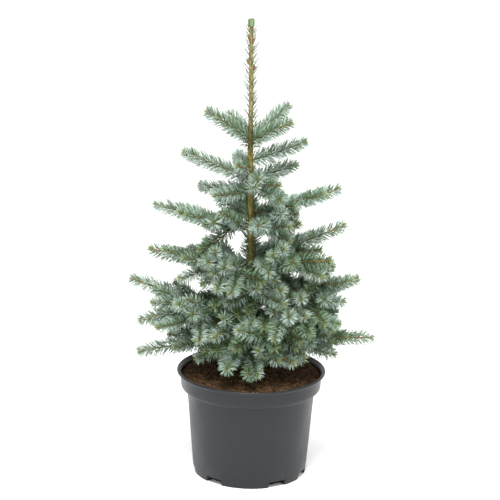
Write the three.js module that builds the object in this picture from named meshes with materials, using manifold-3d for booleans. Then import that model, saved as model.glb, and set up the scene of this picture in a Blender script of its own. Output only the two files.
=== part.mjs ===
// A young blue spruce in a round nursery pot.
// Millimetres, +Z up. The origin is the centre of the pot's flat underside, and -Y is the plant's front.
// Every limb and every mass of needles is worked out from its height on the stem, its heading and its reach.
import * as THREE from "three";
import { mergeVertices } from "three/addons/utils/BufferGeometryUtils.js";
import Module from "manifold-3d";

const wasm = await Module();
wasm.setup();

// ---------------------------------------------------------------- driving dimensions

const GAP = 0.3;                    // air kept between two pieces that touch

// Pot: five-litre nursery container
const POT_HEIGHT = 164;
const RIM_RADIUS = 115;             // outside of the thin rolled lip
const LIP_HEIGHT = 4;
const COLLAR_RADIUS = 109;          // outside of the stiffening collar under the lip
const COLLAR_HEIGHT = 21;
const COLLAR_STEP = 5;              // height of the shoulder where the collar steps in to the wall
const SHOULDER_RADIUS = 99;         // outside of the wall just under the collar
const BASE_RADIUS = 88;
const WALL = 2;
const POT_SIDES = 32;

// Drain recesses bitten out of the pot's foot
const RECESS_HEADINGS = [51, 119, 188, 232, 299, 338];    // degrees, 0 is the plant's right
const RECESS_HALF_WIDTH = 9;        // degrees
const RECESS_HEIGHT = 9;
const RECESS_DEPTH = 12;

// Compost
const SOIL_LEVEL = 153;

// Stem
const STEM_FOOT = SOIL_LEVEL + GAP;
const LEADER_FOOT = 536;
const STEM_TOP = 699;
const STEM_FLARE_RADIUS = 9.5;      // at the flat foot
const STEM_FOOT_RADIUS = 7.2;       // what the taper alone gives at the foot
const STEM_LEADER_RADIUS = 3;       // at the foot of this year's leader
const STEM_TIP_RADIUS = 2;
const FLARE_HEIGHT = 16;
const STEM_SIDES = 8;
const KNOT_SWELL = 0.5;             // swelling of the stem at each whorl
const KNOT_HALF_HEIGHT = 9;
const WHORL_HEIGHTS = [222, 272, 336, 388, 411, 462, 526];
const STEM_LEAN = [                 // how far the stem stands off the pot's axis at each height
  [150, -2], [280, -4.5], [390, -4], [465, -7.5], [580, -8], [705, -10],
];

// Needle-clad shoots
const SHOOT_RADIUS = 13;            // from a twig to its needle tips
const YOUNG_SHOOT_RADIUS = 12;
const SPINE_SIDES = 6;
const FORK_SIDES = 5;
const RAGGED = 0.1;                 // share by which a mass's radius wanders
const LEADER_SLEEVE_FOOT = 532;
const LEADER_SLEEVE_RADIUS = 11;
const LEADER_TIP = 705;

// Limbs
const LIMB_BASE_RADIUS = 3.4;
const LIMB_END_RADIUS = 2.1;
const LIMB_SIDES = 5;

// Young shoots that are clad in needles from the stem out. Each row gives the shoot's height on the
// stem, its heading (degrees, 0 is the plant's right), its reach and its rise. A fork is
// [place along the shoot, swing from its heading, reach, rise].
const YOUNG_SHOOTS = [
  { name: "whorl_1_left", height: 524, turn: 184, reach: 67, rise: 44 },
  { name: "whorl_1_back_right", height: 522, turn: 38, reach: 73, rise: 48 },
  { name: "whorl_1_front_right", height: 522, turn: -14, reach: 63, rise: 32 },
  { name: "whorl_1_back_left", height: 528, turn: 146, reach: 42, rise: 32 },
  { name: "whorl_2_right", height: 490, turn: 10, reach: 85, rise: 30 },
  { name: "whorl_2_front_left", height: 478, turn: 232, reach: 32, rise: 11 },
  { name: "whorl_2_left", height: 465, turn: 182, reach: 102, rise: 39 },
  { name: "whorl_2_back_right", height: 462, turn: 28, reach: 80, rise: 18 },
  { name: "whorl_2_back", height: 470, turn: 104, reach: 84, rise: 16 },
  {
    name: "whorl_3_left", height: 444, turn: 168, reach: 80, rise: 3,
    forks: [[0.1, 42, 56, -2]],
  },
  {
    name: "whorl_3_front_right", height: 450, turn: -38, reach: 56, rise: 12,
    forks: [[0.1, -46, 42, 12], [0.25, -14, 58, -6]],
  },
  {
    name: "whorl_6_front", height: 292, turn: -60, reach: 96, rise: 22,
    forks: [[0.2, -28, 60, 18], [0.1, 36, 64, -24]],
  },
];

// Main boughs: `bare` is the limb's length from the stem's axis to its needles, and `arch` is how
// far the middle of the bough lies above (or, negative, below) the straight line to its tip.
const BOUGHS = [
  {
    name: "4_right", height: 411, turn: 4, reach: 135, rise: 39, arch: -2, bare: 18,
    forks: [[0.2, 42, 50, 2], [0.25, -36, 45, -4], [0.15, -60, 34, 4]],
  },
  {
    name: "4_left", height: 385, turn: 181, reach: 148, rise: 38, arch: -1, bare: 18,
    forks: [[0.3, 46, 42, 4], [0.18, 26, 60, -35], [0.08, 36, 46, 30]],
  },
  {
    name: "4_front_right", height: 386, turn: -22, reach: 80, rise: 17, bare: 18,
    forks: [[0.35, -28, 54, -10], [0.12, -66, 70, 22], [0.3, 36, 50, 6]],
  },
  {
    name: "4_back", height: 398, turn: 98, reach: 122, rise: 30, bare: 20,
    forks: [[0.25, 44, 62, 12], [0.25, -58, 64, -8], [0.5, 34, 44, 6]],
  },
  {
    name: "5_left", height: 334, turn: 184, reach: 154, rise: 22, arch: -7, bare: 22,
    forks: [[0.35, 30, 66, -18], [0.3, 50, 48, 6], [0.35, -42, 52, 10]],
  },
  {
    name: "5_back_left", height: 335, turn: 147, reach: 122, rise: -2, bare: 22,
    forks: [[0.3, 36, 56, -6], [0.35, -42, 60, 4]],
  },
  {
    name: "5_front_left", height: 331, turn: 235, reach: 74, rise: 10, bare: 20,
    forks: [[0.35, -24, 70, -21], [0.45, 26, 62, -26]],
  },
  {
    name: "5_right", height: 339, turn: 3, reach: 143, rise: 55, arch: -3, bare: 22,
    forks: [[0.35, -28, 64, 6], [0.3, 42, 54, 12]],
  },
  {
    name: "5_front_right", height: 331, turn: -34, reach: 144, rise: 29, bare: 22,
    forks: [[0.3, -30, 66, 14], [0.35, 22, 88, 2], [0.2, -42, 58, -12]],
  },
  {
    name: "5_back", height: 340, turn: 70, reach: 132, rise: -8, bare: 22,
    forks: [[0.3, 30, 50, 0], [0.3, -42, 50, 8], [0.55, -30, 44, 0]],
  },
  {
    name: "6_left", height: 266, turn: 180, reach: 183, rise: 40, arch: -8, bare: 22,
    forks: [[0.48, -34, 36, 16], [0.45, 30, 78, 2], [0.18, 44, 62, -2]],
  },
  {
    name: "6_right", height: 277, turn: -8, reach: 167, rise: 41, arch: -5, bare: 24,
    forks: [[0.38, 12, 64, 38], [0.35, -20, 98, 4], [0.28, -26, 110, -26], [0.2, -50, 100, -6]],
  },
  {
    name: "6_back_left", height: 275, turn: 126, reach: 146, rise: 20, bare: 26,
    forks: [[0.3, 52, 66, -22], [0.3, -40, 68, 6], [0.55, -34, 46, 4]],
  },
  {
    name: "6_back_right", height: 282, turn: 58, reach: 148, rise: 24, bare: 26,
    forks: [[0.3, 40, 68, 6], [0.3, -38, 70, 4], [0.55, 34, 46, 4]],
  },
  {
    name: "7_left", height: 239, turn: 196, reach: 175, rise: 13, arch: 15, bare: 28,
    forks: [[0.35, 46, 54, 12], [0.45, 22, 86, -8], [0.4, -40, 76, 0]],
  },
  {
    name: "7_low_left", height: 213, turn: 188, reach: 173, rise: -18, arch: 4, bare: 28,
    forks: [[0.45, 26, 48, -2], [0.2, 28, 60, -20], [0.35, -38, 80, -4]],
  },
  {
    name: "7_front_left", height: 226, turn: 236, reach: 96, rise: 12, arch: 6, bare: 24,
    forks: [[0.3, 22, 66, -38], [0.3, -24, 78, -6]],
  },
  {
    name: "7_right", height: 219, turn: -5, reach: 190, rise: 3, bare: 28,
    forks: [[0.35, -26, 78, -16], [0.35, 34, 78, 6], [0.2, -44, 70, -15]],
  },
  {
    name: "7_front_right", height: 239, turn: -52, reach: 98, rise: 26, arch: 8, bare: 24,
    forks: [[0.15, -42, 78, 16], [0.4, -22, 64, -30], [0.35, 28, 76, -2]],
  },
  {
    name: "7_low_front", height: 210, turn: -46, reach: 98, rise: -14, bare: 24,
    forks: [[0.15, -42, 84, -24], [0.2, -20, 76, -4], [0.35, 24, 66, -10]],
  },
  {
    name: "7_back_right", height: 226, turn: 46, reach: 158, rise: 6, bare: 28,
    forks: [[0.3, 38, 78, -4], [0.3, -38, 74, 0], [0.55, 34, 50, -2]],
  },
  {
    name: "7_back_left", height: 218, turn: 122, reach: 160, rise: 2, bare: 28,
    forks: [[0.3, 40, 76, -4], [0.3, -40, 78, 0], [0.55, -34, 50, -2]],
  },
];

const FINISHES = {
  pot: { color: 0x4b4d50, roughness: 0.5, metalness: 0 },
  soil: { color: 0x3f281a, roughness: 1, metalness: 0 },
  bark: { color: 0x6b5636, roughness: 0.9, metalness: 0 },
  needles: { color: 0x7f9c94, roughness: 0.7, metalness: 0 },
};

// ---------------------------------------------------------------- solids

const radians = THREE.MathUtils.degToRad;

// A closed three.js geometry as a solid that can be joined and cut.
function toSolid(geometry) {
  geometry.deleteAttribute("normal");
  geometry.deleteAttribute("uv");
  const welded = mergeVertices(geometry, 1e-4);
  const corners = welded.index.array;
  const triangles = [];
  for (let i = 0; i < corners.length; i += 3) {
    const [a, b, c] = corners.slice(i, i + 3);
    if (a !== b && b !== c && c !== a) triangles.push(a, b, c);
  }
  return new wasm.Manifold(new wasm.Mesh({
    numProp: 3,
    vertProperties: new Float32Array(welded.attributes.position.array),
    triVerts: new Uint32Array(triangles),
  }));
}

function toMesh(name, solid, finish) {
  const { vertProperties, triVerts } = solid.getMesh();
  const geometry = new THREE.BufferGeometry();
  geometry.setAttribute("position", new THREE.BufferAttribute(vertProperties, 3));
  geometry.setIndex(new THREE.BufferAttribute(triVerts, 1));
  const mesh = new THREE.Mesh(geometry, new THREE.MeshStandardMaterial({ ...finish, flatShading: true }));
  mesh.name = name;
  return mesh;
}

// A profile of [radius, height] pairs turned about the Z axis.
function turned(profile, sides) {
  const points = profile.map(([radius, height]) => new THREE.Vector2(radius, height));
  return toSolid(new THREE.LatheGeometry(points, sides).rotateX(Math.PI / 2));
}

function boxesMeet(one, other) {
  const a = one.boundingBox();
  const b = other.boundingBox();
  return [0, 1, 2].every((axis) => a.min[axis] < b.max[axis] && b.min[axis] < a.max[axis]);
}

function cutBy(solid, cutters) {
  return cutters.reduce((rest, cutter) => (boxesMeet(rest, cutter) ? rest.subtract(cutter) : rest), solid);
}

function largestBody(solid) {
  return solid.decompose().reduce((best, body) => (body.volume() > best.volume() ? body : best));
}

// Repeatable random numbers between -1 and 1.
function wander(seed) {
  let state = seed * 7919 + 17;
  return () => {
    state = (state * 1103515245 + 12345) % 2147483648;
    return state / 1073741824 - 1;
  };
}

// A turned body bent along a curve. The profile's heights run from 0 to 1 along the curve between
// `from` and `to`; `grow` swells the body on all sides, and `ragged` makes its radius wander.
function bentBody({
  curve, from = 0, to = 1, profile, sides, ragged = 0, seed = 1, grow = 0, upright = false,
}) {
  const points = profile.map(([radius, height]) => new THREE.Vector2(radius, height));
  const body = new THREE.LatheGeometry(points, sides);
  body.deleteAttribute("normal");
  body.deleteAttribute("uv");
  const welded = mergeVertices(body, 1e-4);
  const place = welded.attributes.position;
  const random = wander(seed);
  const reference = upright ? new THREE.Vector3(1, 0, 0) : new THREE.Vector3(0, 0, 1);
  for (let i = 0; i < place.count; i += 1) {
    const along = place.getY(i);
    const radius = Math.hypot(place.getX(i), place.getZ(i));
    const bearing = Math.atan2(place.getZ(i), place.getX(i));
    const swollen = radius > 0 ? radius * (1 + ragged * random()) + grow : 0;
    const t = THREE.MathUtils.lerp(from, to, along);
    const tangent = curve.getTangent(t);
    const side = new THREE.Vector3().crossVectors(reference, tangent).normalize();
    const normal = new THREE.Vector3().crossVectors(side, tangent);
    const point = curve.getPoint(t);
    point.addScaledVector(side, swollen * Math.cos(bearing));
    point.addScaledVector(normal, swollen * Math.sin(bearing));
    if (along === 0) point.addScaledVector(tangent, -grow);
    if (along === 1) point.addScaledVector(tangent, grow);
    place.setXYZ(i, point.x, point.y, point.z);
  }
  return toSolid(welded);
}

// ---------------------------------------------------------------- pot and compost

const SHOULDER_HEIGHT = POT_HEIGHT - LIP_HEIGHT - COLLAR_HEIGHT - COLLAR_STEP;
const COLLAR_FOOT = SHOULDER_HEIGHT + COLLAR_STEP;
const LIP_FOOT = POT_HEIGHT - LIP_HEIGHT;

// Radius of the pot's outside wall between its foot and its shoulder.
function wallRadius(height) {
  return THREE.MathUtils.lerp(BASE_RADIUS, SHOULDER_RADIUS, height / SHOULDER_HEIGHT);
}

// The filling of the pot, up to `top`, standing `clear` inside the pot's inner face.
function filling(top, clear) {
  const inset = WALL + clear;
  return turned([
    [0, inset],
    [wallRadius(inset) - inset, inset],
    [SHOULDER_RADIUS - inset, SHOULDER_HEIGHT],
    [COLLAR_RADIUS - inset - 0.5, COLLAR_FOOT],
    [COLLAR_RADIUS - inset - 0.5, top],
    [0, top],
  ], POT_SIDES);
}

// One drain recess: a ring sector bitten out of the foot, `grow` larger on the inside.
function recess(heading, grow) {
  const halfWidth = radians(RECESS_HALF_WIDTH) + grow / BASE_RADIUS;
  const outline = new THREE.Shape();
  outline.absarc(0, 0, BASE_RADIUS + RECESS_DEPTH, -halfWidth, halfWidth, false);
  outline.absarc(0, 0, BASE_RADIUS - RECESS_DEPTH - grow, halfWidth, -halfWidth, true);
  const depth = RECESS_HEIGHT + grow + 1;
  const block = new THREE.ExtrudeGeometry(outline, { depth, bevelEnabled: false, curveSegments: 2 });
  return toSolid(block.translate(0, 0, -1).rotateZ(radians(heading)));
}

const recesses = (grow) => RECESS_HEADINGS.map((heading) => recess(heading, grow));

function makePot() {
  const outside = turned([
    [0, 0],
    [BASE_RADIUS, 0],
    [SHOULDER_RADIUS, SHOULDER_HEIGHT],
    [COLLAR_RADIUS - COLLAR_STEP / 2, SHOULDER_HEIGHT + 1],
    [COLLAR_RADIUS - 0.5, COLLAR_FOOT],
    [COLLAR_RADIUS, LIP_FOOT],
    [RIM_RADIUS, LIP_FOOT],
    [RIM_RADIUS, POT_HEIGHT],
    [0, POT_HEIGHT],
  ], POT_SIDES);
  const mouth = turned([
    [0, LIP_FOOT - WALL],
    [COLLAR_RADIUS - WALL, LIP_FOOT - WALL],
    [RIM_RADIUS - WALL, POT_HEIGHT + 1],
    [0, POT_HEIGHT + 1],
  ], POT_SIDES);
  const hollow = cutBy(filling(LIP_FOOT, 0), recesses(WALL)).add(mouth);
  return cutBy(outside.subtract(hollow), recesses(0));
}

function makeSoil() {
  return cutBy(filling(SOIL_LEVEL, GAP), recesses(WALL + GAP));
}

// ---------------------------------------------------------------- stem

// The point of the stem's axis at a height, on straight stretches between the heights of STEM_LEAN.
function stemAxis(height) {
  const above = STEM_LEAN.findIndex(([level], row) => row > 0 && height <= level);
  const [[low, lowX], [high, highX]] = STEM_LEAN.slice(above - 1, above + 1);
  return new THREE.Vector3(THREE.MathUtils.mapLinear(height, low, high, lowX, highX), 0, height);
}

// An upright curve that follows the stem's axis between two heights.
const stemCurve = (foot, top) => ({
  getPoint: (t) => stemAxis(THREE.MathUtils.lerp(foot, top, t)),
  getTangent: () => new THREE.Vector3(0, 0, 1),
});

// Radius of the stem without its knots: a straight taper to the leader, then a slower one to the tip.
function stemTaper(height) {
  if (height > LEADER_FOOT) {
    return THREE.MathUtils.mapLinear(height, LEADER_FOOT, STEM_TOP, STEM_LEADER_RADIUS, STEM_TIP_RADIUS);
  }
  const taper = THREE.MathUtils.mapLinear(height, STEM_FOOT, LEADER_FOOT, STEM_FOOT_RADIUS, STEM_LEADER_RADIUS);
  const flare = STEM_FLARE_RADIUS - STEM_FOOT_RADIUS;
  return taper + flare * Math.max(0, 1 - (height - STEM_FOOT) / FLARE_HEIGHT) ** 2;
}

// The stem from soil level to `top`, as rings of [radius, height].
function stemBody(rings, top) {
  const profile = rings.sort((a, b) => a[1] - b[1])
    .map(([radius, height]) => [radius, (height - STEM_FOOT) / (top - STEM_FOOT)]);
  return bentBody({
    curve: stemCurve(STEM_FOOT, top),
    profile: [[0, 0], ...profile, [0, 1]],
    sides: STEM_SIDES,
    upright: true,
  });
}

const flareRings = [STEM_FOOT, STEM_FOOT + FLARE_HEIGHT / 3, STEM_FOOT + FLARE_HEIGHT];
const leanRings = STEM_LEAN.slice(1, -1).map(([height]) => height);

function makeStem() {
  const plain = [...flareRings, ...leanRings, STEM_TOP].map((height) => [stemTaper(height), height]);
  const knots = WHORL_HEIGHTS.flatMap((whorl) => [-KNOT_HALF_HEIGHT, 0, KNOT_HALF_HEIGHT].map((offset) => {
    const height = whorl + offset;
    return [stemTaper(height) + (offset === 0 ? KNOT_SWELL : 0), height];
  }));
  return stemBody([...plain, ...knots], STEM_TOP);
}

// What is cut away for the stem: wider than its knots by the gap, all the way up and over its tip.
function makeStemCutter() {
  const top = STEM_TOP + GAP;
  const heights = [...flareRings, ...leanRings, LEADER_FOOT, top];
  return stemBody(heights.map((height) => [stemTaper(height) + KNOT_SWELL + GAP, height]), top);
}

// The leader's own needles: a sleeve round the stem that closes in a tuft over its tip.
function makeLeaderSleeve() {
  const curve = stemCurve(LEADER_SLEEVE_FOOT, LEADER_TIP);
  const wide = LEADER_SLEEVE_RADIUS;
  const profile = [
    [0, 0], [wide * 0.55, 0], [wide, 0.1], [wide * 0.92, 0.83], [wide * 0.5, 0.92], [wide * 0.4, 1], [0, 1],
  ];
  return bentBody({ curve, profile, sides: SPINE_SIDES, ragged: RAGGED, seed: 3, upright: true });
}

// ---------------------------------------------------------------- limbs and masses of needles

// A curve from a point, out along a heading, up by the rise, and bowed by the arch.
function outward(start, turn, reach, rise, arch = 0) {
  const end = start.clone();
  end.x += reach * Math.cos(radians(turn));
  end.y += reach * Math.sin(radians(turn));
  end.z += rise;
  const middle = start.clone().lerp(end, 0.5);
  middle.z += 2 * arch;
  return new THREE.QuadraticBezierCurve3(start, middle, end);
}

const spineOf = ({ height, turn, reach, rise, arch }) => outward(stemAxis(height), turn, reach, rise, arch);

function makeLimb({ curve, bare }, grow) {
  const to = (bare - GAP) / curve.getLength();
  const profile = [[0, 0], [LIMB_BASE_RADIUS, 0], [LIMB_END_RADIUS, 1], [0, 1]];
  return bentBody({ curve, to, profile, sides: LIMB_SIDES, grow });
}

// Outline of a needle-clad shoot: full along its length, closing in a blunt tip.
const mainProfile = (radius) => [
  [0, 0], [radius * 0.55, 0], [radius, 0.24], [radius * 0.97, 0.8], [radius * 0.4, 1], [0, 1],
];
const forkProfile = (radius) => [
  [0, 0], [radius * 0.5, 0], [radius, 0.68], [radius * 0.4, 1], [0, 1],
];

function makeSpine({ curve, bare, radius, seed }, grow) {
  const from = bare / curve.getLength();
  return bentBody({
    curve, from, profile: mainProfile(radius), sides: SPINE_SIDES, ragged: RAGGED, seed, grow,
  });
}

function makeForks({ curve, turn, forks, radius, seed }, grow) {
  return forks.map(([place, swing, reach, rise], index) => bentBody({
    curve: outward(curve.getPoint(place), turn + swing, reach, rise),
    profile: forkProfile(radius),
    sides: FORK_SIDES,
    ragged: RAGGED,
    seed: seed + index + 1,
    grow,
  }));
}

const plans = [
  ...BOUGHS.map((bough) => ({ ...bough, radius: SHOOT_RADIUS, limb: true })),
  ...YOUNG_SHOOTS.map((shoot) => ({ ...shoot, radius: YOUNG_SHOOT_RADIUS, bare: 0 })),
].map((plan, index) => ({ forks: [], ...plan, curve: spineOf(plan), seed: 10 * (index + 1) }));

// ---------------------------------------------------------------- assembly

const pieces = new THREE.Group();
const stemCutter = makeStemCutter();

pieces.add(toMesh("pot", makePot(), FINISHES.pot));
pieces.add(toMesh("soil", makeSoil(), FINISHES.soil));
pieces.add(toMesh("trunk", makeStem(), FINISHES.bark));

// Each limb starts on the stem's surface and stays clear of the limbs before it.
const limbCutters = [];
for (const plan of plans.filter(({ limb }) => limb)) {
  const limb = largestBody(cutBy(makeLimb(plan, 0), [stemCutter, ...limbCutters]));
  limbCutters.push(makeLimb(plan, GAP));
  pieces.add(toMesh(`bough_${plan.name}`, limb, FINISHES.bark));
}

// Each mass starts where its limb ends. Its main shoot gives way to the main shoots before it, and its
// side shoots give way to every other main shoot and to the side shoots before them.
const spineCutters = plans.map((plan) => makeSpine(plan, GAP));
const forkCutters = [];
const sleeve = largestBody(cutBy(makeLeaderSleeve(), [stemCutter, ...spineCutters]));
pieces.add(toMesh("needles_leader", sleeve, FINISHES.needles));
plans.forEach((plan, index) => {
  const otherSpines = spineCutters.filter((_, other) => other !== index);
  const spine = cutBy(makeSpine(plan, 0), spineCutters.slice(0, index));
  const forks = makeForks(plan, 0).map((fork) => cutBy(fork, [...otherSpines, ...forkCutters]));
  const joined = forks.reduce((whole, fork) => whole.add(fork), spine);
  const mass = largestBody(cutBy(joined, [stemCutter, ...limbCutters]));
  forkCutters.push(...makeForks(plan, GAP));
  pieces.add(toMesh(`needles_${plan.name}`, mass, FINISHES.needles));
});

export default pieces;
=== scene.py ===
"""Young blue spruce in a nursery pot: bark, twigs, buds, needles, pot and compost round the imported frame.

Lengths are millimetres while a piece is worked out and metres in the scene. +Z is up, -Y is the front.
"""

import math
from dataclasses import dataclass

import bmesh
import bpy
import numpy as np
from bpy.props import FloatProperty, FloatVectorProperty, IntProperty, PointerProperty
from mathutils import Matrix, Vector, noise
from mathutils.bvhtree import BVHTree


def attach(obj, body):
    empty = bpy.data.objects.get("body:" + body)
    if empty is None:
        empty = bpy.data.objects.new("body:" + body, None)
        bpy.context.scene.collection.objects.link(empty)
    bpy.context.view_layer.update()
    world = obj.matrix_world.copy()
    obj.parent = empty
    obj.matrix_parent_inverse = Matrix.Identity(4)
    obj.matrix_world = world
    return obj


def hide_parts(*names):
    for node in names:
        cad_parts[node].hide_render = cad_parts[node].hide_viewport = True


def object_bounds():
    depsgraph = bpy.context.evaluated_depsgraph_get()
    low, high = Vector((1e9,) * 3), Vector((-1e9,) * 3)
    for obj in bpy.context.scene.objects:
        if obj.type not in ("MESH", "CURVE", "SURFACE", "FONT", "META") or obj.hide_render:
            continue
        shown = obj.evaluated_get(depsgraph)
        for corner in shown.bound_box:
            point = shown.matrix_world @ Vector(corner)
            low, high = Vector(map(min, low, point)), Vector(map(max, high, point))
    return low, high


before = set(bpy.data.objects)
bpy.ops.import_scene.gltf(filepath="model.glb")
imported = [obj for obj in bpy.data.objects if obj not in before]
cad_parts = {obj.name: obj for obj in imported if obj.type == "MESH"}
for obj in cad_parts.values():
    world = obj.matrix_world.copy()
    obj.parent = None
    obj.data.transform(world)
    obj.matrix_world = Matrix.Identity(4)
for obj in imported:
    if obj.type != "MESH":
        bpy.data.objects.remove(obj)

bl_info = {
    "name": "Potted blue spruce",
    "version": (1, 0, 0),
    "blender": (4, 5, 0),
    "location": "View3D > Sidebar > Spruce",
    "description": "Grows a young blue spruce and its nursery pot round the packed frame",
    "category": "Add Mesh",
}

CAD_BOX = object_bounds()
MM = 0.001
UP = np.array([0.0, 0.0, 1.0])
GOLDEN_ANGLE = math.radians(137.508)
CAMERA_PLACE = (-0.0054, -2.4, 0.982)
CAMERA_PITCH, CAMERA_ROLL = math.radians(14.68), math.radians(1.1)

# ------------ sizes of the plant, in millimetres

STEM_LEAN = ((150, -2), (280, -4.5), (390, -4), (465, -7.5), (580, -8), (705, -10))
WHORL_HEIGHTS = (222, 272, 336, 388, 411, 462, 526)
STEM_FOOT = 153.3
STEM_TOP = 699

# name, height on the stem, turn (degrees, 0 is the plant's right), reach, rise, arch, bare length,
# side shoots: (place along the bough, swing from its turn, reach, rise)
YOUNG_SHOOTS = (
    ("whorl_1_left", 524, 184, 67, 44, 0, 0, ()),
    ("whorl_1_back_right", 522, 38, 73, 48, 0, 0, ()),
    ("whorl_1_front_right", 522, -14, 63, 32, 0, 0, ()),
    ("whorl_1_back_left", 528, 146, 42, 32, 0, 0, ()),
    ("whorl_2_right", 490, 10, 85, 30, 0, 0, ()),
    ("whorl_2_front_left", 478, 232, 32, 11, 0, 0, ()),
    ("whorl_2_left", 465, 182, 102, 39, 0, 0, ()),
    ("whorl_2_back_right", 462, 28, 80, 18, 0, 0, ()),
    ("whorl_2_back", 470, 104, 84, 16, 0, 0, ()),
    ("whorl_3_left", 444, 168, 80, 3, 0, 0, ((0.1, 42, 56, -2),)),
    ("whorl_3_front_right", 450, -38, 56, 12, 0, 0, ((0.1, -46, 42, 12), (0.25, -14, 58, -6))),
    ("whorl_6_front", 292, -60, 96, 22, 0, 0, ((0.2, -28, 60, 18), (0.1, 36, 64, -24))),
)
BOUGHS = (
    ("4_right", 411, 4, 135, 39, -2, 18, ((0.2, 42, 50, 2), (0.25, -36, 45, -4), (0.15, -60, 34, 4))),
    ("4_left", 385, 181, 148, 38, -1, 18, ((0.3, 46, 42, 4), (0.18, 26, 60, -35), (0.08, 36, 46, 30))),
    ("4_front_right", 386, -22, 80, 17, 0, 18,
     ((0.35, -28, 54, -10), (0.12, -66, 70, 22), (0.3, 36, 50, 6))),
    ("4_back", 398, 98, 122, 30, 0, 20, ((0.25, 44, 62, 12), (0.25, -58, 64, -8), (0.5, 34, 44, 6))),
    ("5_left", 334, 184, 154, 22, -7, 22, ((0.35, 30, 66, -18), (0.3, 50, 48, 6), (0.35, -42, 52, 10))),
    ("5_back_left", 335, 147, 122, -2, 0, 22, ((0.3, 36, 56, -6), (0.35, -42, 60, 4))),
    ("5_front_left", 331, 235, 74, 10, 0, 20, ((0.35, -24, 70, -21), (0.45, 26, 62, -26))),
    ("5_right", 339, 3, 143, 55, -3, 22, ((0.35, -28, 64, 6), (0.3, 42, 54, 12))),
    ("5_front_right", 331, -34, 144, 29, 0, 22,
     ((0.3, -30, 66, 14), (0.35, 22, 88, 2), (0.2, -42, 58, -12))),
    ("5_back", 340, 70, 132, -8, 0, 22, ((0.3, 30, 50, 0), (0.3, -42, 50, 8), (0.55, -30, 44, 0))),
    ("6_left", 266, 180, 183, 40, -8, 22, ((0.48, -34, 36, 16), (0.45, 30, 78, 2), (0.18, 44, 62, -2))),
    ("6_right", 277, -8, 167, 41, -5, 24,
     ((0.38, 12, 64, 38), (0.35, -20, 98, 4), (0.28, -26, 110, -26), (0.2, -50, 100, -6))),
    ("6_back_left", 275, 126, 146, 20, 0, 26, ((0.3, 52, 66, -22), (0.3, -40, 68, 6), (0.55, -34, 46, 4))),
    ("6_back_right", 282, 58, 148, 24, 0, 26, ((0.3, 40, 68, 6), (0.3, -38, 70, 4), (0.55, 34, 46, 4))),
    ("7_left", 239, 196, 175, 13, 15, 28, ((0.35, 46, 54, 12), (0.45, 22, 86, -8), (0.4, -40, 76, 0))),
    ("7_low_left", 213, 188, 173, -18, 4, 28,
     ((0.45, 26, 48, -2), (0.2, 28, 60, -20), (0.35, -38, 80, -4))),
    ("7_front_left", 226, 236, 96, 12, 6, 24, ((0.3, 22, 66, -38), (0.3, -24, 78, -6))),
    ("7_right", 219, -5, 190, 3, 0, 28, ((0.35, -26, 78, -16), (0.35, 34, 78, 6), (0.2, -44, 70, -15))),
    ("7_front_right", 239, -52, 98, 26, 8, 24,
     ((0.15, -42, 78, 16), (0.4, -22, 64, -30), (0.35, 28, 76, -2))),
    ("7_low_front", 210, -46, 98, -14, 0, 24,
     ((0.15, -42, 84, -24), (0.2, -20, 76, -4), (0.35, 24, 66, -10))),
    ("7_back_right", 226, 46, 158, 6, 0, 28, ((0.3, 38, 78, -4), (0.3, -38, 74, 0), (0.55, 34, 50, -2))),
    ("7_back_left", 218, 122, 160, 2, 0, 28, ((0.3, 40, 76, -4), (0.3, -40, 78, 0), (0.55, -34, 50, -2))),
)

# Shoots that come straight forward: bough, place along it, tip, tone. The darker tones of the deeper shoots are
# painted shade.
FRONT_SHOOTS = (
    ("5_left", 0.23, (-43, -62, 341), "silver"),
    ("whorl_6_front", 0.39, (14, -66, 313), "blue"),
    ("6_right", 0.28, (42, -63, 309), "silver"),
    ("7_front_right", 0.70, (54, -96, 277), "silver"),
    ("7_left", 0.51, (-89, -66, 270), "blue"),
    ("7_low_left", 0.31, (-66, -64, 238), "blue"),
    ("7_low_front", 0.34, (16, -70, 204), "green"),
    ("5_left", 0.41, (-67, -60, 349), "silver"),
    ("4_left", 0.35, (-60, -38, 405), "silver"),
    ("whorl_3_front_right", 0.19, (3, -38, 471), "silver"),
    ("whorl_3_front_right", 0.60, (39, -48, 443), "blue"),
    ("7_front_right", 0.23, (-6, -57, 272), "green"),
    ("7_front_right", 0.30, (18, -75, 241), "shade"),
    ("7_low_left", 0.16, (-20, -64, 215), "shade"),
    ("7_low_front", 0.55, (35, -75, 216), "green"),
    ("7_front_left", 0.25, (-10, -66, 250), "silver"),
    ("7_front_left", 0.20, (-24, -62, 268), "shade"),
    ("7_right", 0.37, (71, -50, 220), "green"),
    ("7_low_left", 0.25, (-51, -68, 215), "green"),
    ("4_front_right", 0.25, (13, -64, 408), "blue"),
    ("5_front_right", 0.53, (57, -85, 358), "green"),
    ("5_front_right", 0.24, (25, -56, 350), "shade"),
    ("6_right", 0.18, (43, -50, 332), "shade"),
    ("6_right", 0.40, (90, -50, 314), "blue"),
    ("4_right", 0.29, (36, -55, 445), "blue"),
    ("whorl_6_front", 0.08, (-20, -56, 312), "green"),
    ("whorl_6_front", 0.12, (2, -50, 284), "shade"),
    ("6_left", 0.20, (-42, -52, 300), "blue"),
    ("6_right", 0.62, (107, -70, 298), "blue"),
    ("7_right", 0.50, (120, -34, 268), "blue"),
    ("7_front_left", 0.55, (-36, -96, 196), "blue"),
    ("7_low_front", 0.30, (-3, -92, 186), "green"),
)

# No side shoot passes in front of the stem between these two heights and nearer to its axis than this.
OPEN_STEM = (350, 474, 26)
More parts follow.
